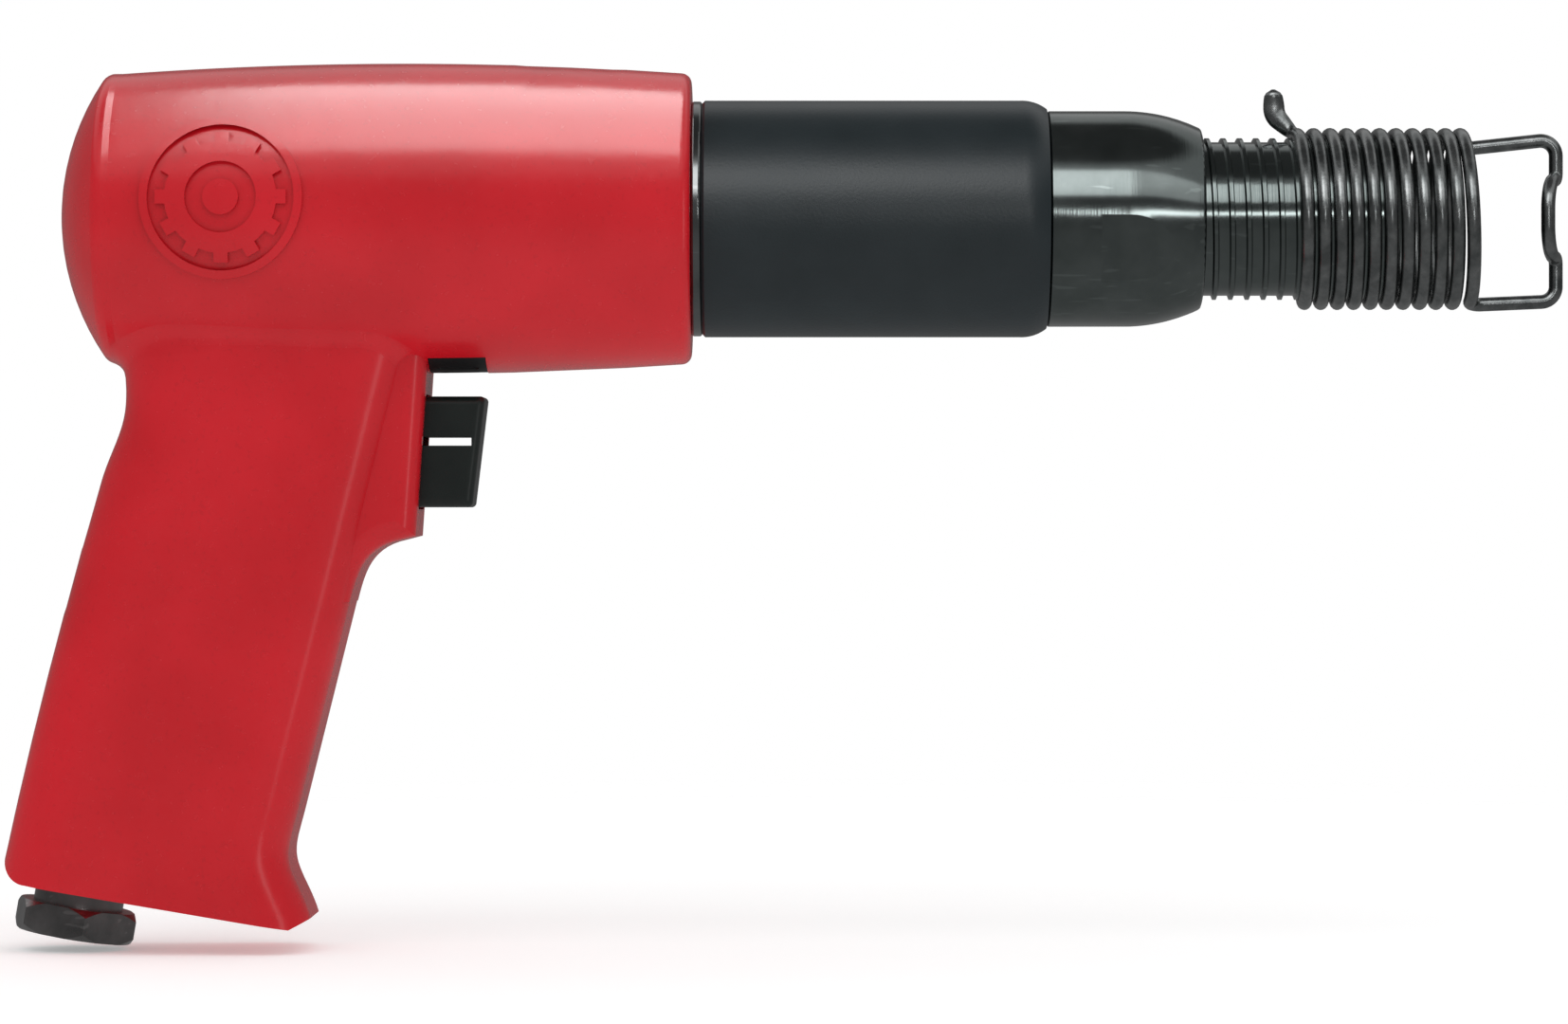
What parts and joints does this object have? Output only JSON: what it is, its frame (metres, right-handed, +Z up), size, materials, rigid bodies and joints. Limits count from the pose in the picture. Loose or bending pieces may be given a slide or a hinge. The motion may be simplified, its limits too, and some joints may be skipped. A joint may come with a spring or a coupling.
{
  "type": "pneumatic air hammer",
  "caption": "Pistol-grip pneumatic hammer: cast handle, sleeved barrel with free piston, push trigger, screw-on spring retainer with wire loop and hexagonal air inlet.",
  "frame": {"origin": "centre of the barrel's front face on the bore axis, at the mouth of the chisel socket", "axes": "+X along the bore axis towards the chisel, +Z up, grip hanging down in the XZ plane"},
  "size_m": [0.2661, 0.0544, 0.1509],
  "materials": {
    "red_paint": "satin red paint on an aluminium casting",
    "black_steel": "black oxide, machined",
    "ring_steel": "dark polished steel",
    "sleeve_composite": "satin blue-black",
    "rubber": "nitrile",
    "hardened_steel": "ground",
    "gasket": "fibre gasket",
    "black_plastic": "moulded",
    "trigger_plastic": "moulded, satin",
    "bright_steel": "bright",
    "brass": "machined",
    "inlet_steel": "dark plated steel",
    "spring_wire": "black phosphated spring steel"
  },
  "bodies": {
    "root": {"handle_housing": "red_paint", "barrel": "black_steel", "barrel_lock_ring": "ring_steel", "barrel_sleeve": "sleeve_composite", "sleeve_o_rings": "rubber", "valve_block": "hardened_steel", "valve_cap": "hardened_steel", "valve_dowel_pin": "hardened_steel", "valve_cap_gasket": "gasket", "exhaust_deflector": "black_plastic", "throttle_bushing": "brass", "throttle_seals": "rubber", "throttle_spring": "bright_steel", "inlet_bushing": "inlet_steel", "inlet_o_ring": "rubber", "inlet_screen": "bright_steel", "retainer_grip_coils": "spring_wire", "retainer_free_coils": "spring_wire"},
    "piston": {"piston": "hardened_steel"},
    "valve_disc": {"valve_disc": "hardened_steel"},
    "trigger": {"trigger": "trigger_plastic", "trigger_rod": "bright_steel", "trigger_roll_pin": "bright_steel", "throttle_valve": "brass", "throttle_valve_seal": "rubber"},
    "retainer_loop": {"retainer_loop": "spring_wire"}
  },
  "joints": [
    {"name": "trigger_pull", "type": "slide", "parent": "root", "child": "trigger", "axis": [-1, 0, 0], "range_m": [0, 0.006], "stiffness_N_per_m": 700, "springref_m": -0.01, "deforming": ["throttle_spring"]},
    {"name": "piston_stroke", "type": "slide", "parent": "root", "child": "piston", "axis": [1, 0, 0], "range_m": [0, 0.089]},
    {"name": "valve_shift", "type": "slide", "parent": "root", "child": "valve_disc", "axis": [1, 0, 0], "range_m": [0, 0.0011]},
    {"name": "retainer_flex", "type": "hinge", "parent": "root", "child": "retainer_loop", "pos_m": [0.0055, -0.0144, 0], "axis": [0, 0, -1], "range_deg": [0, 30], "stiffness_Nm_per_rad": 0.3, "deforming": ["retainer_free_coils"]}
  ]
}
